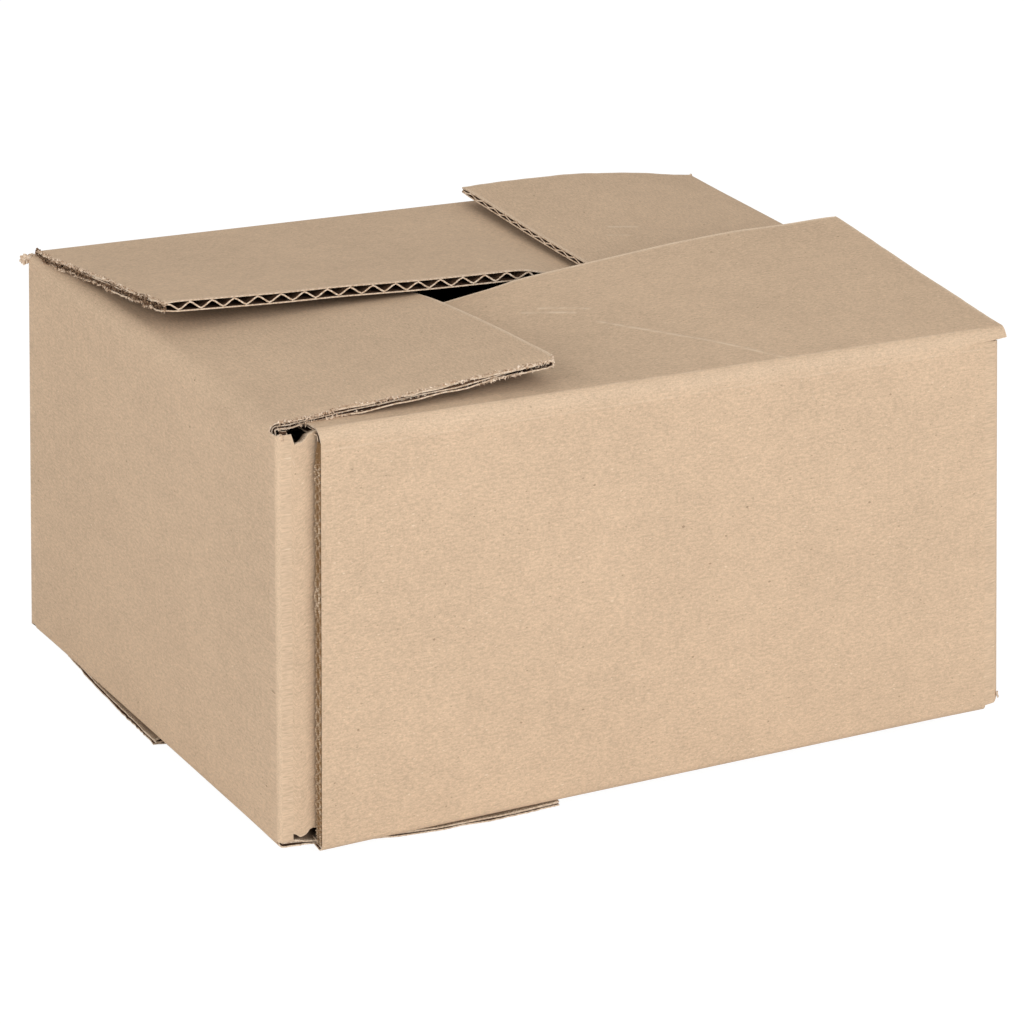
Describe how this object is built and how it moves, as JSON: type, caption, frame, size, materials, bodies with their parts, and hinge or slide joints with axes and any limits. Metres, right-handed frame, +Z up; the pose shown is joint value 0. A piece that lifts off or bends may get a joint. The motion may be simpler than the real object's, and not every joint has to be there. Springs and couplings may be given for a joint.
{
  "type": "closed cardboard box",
  "caption": "Closed corrugated shipping carton, folded from one sheet, with its flaps interlocked at top and bottom",
  "frame": {"origin": "on the floor, under the middle of the carton", "axes": "X along the long front panel, -Y out of the front panel, Z up"},
  "size_m": [0.206, 0.158, 0.1206],
  "materials": {
    "kraft_board": "plain brown kraft liner, matt"
  },
  "bodies": {
    "root": {"carton": "kraft_board"}
  },
  "joints": []
}
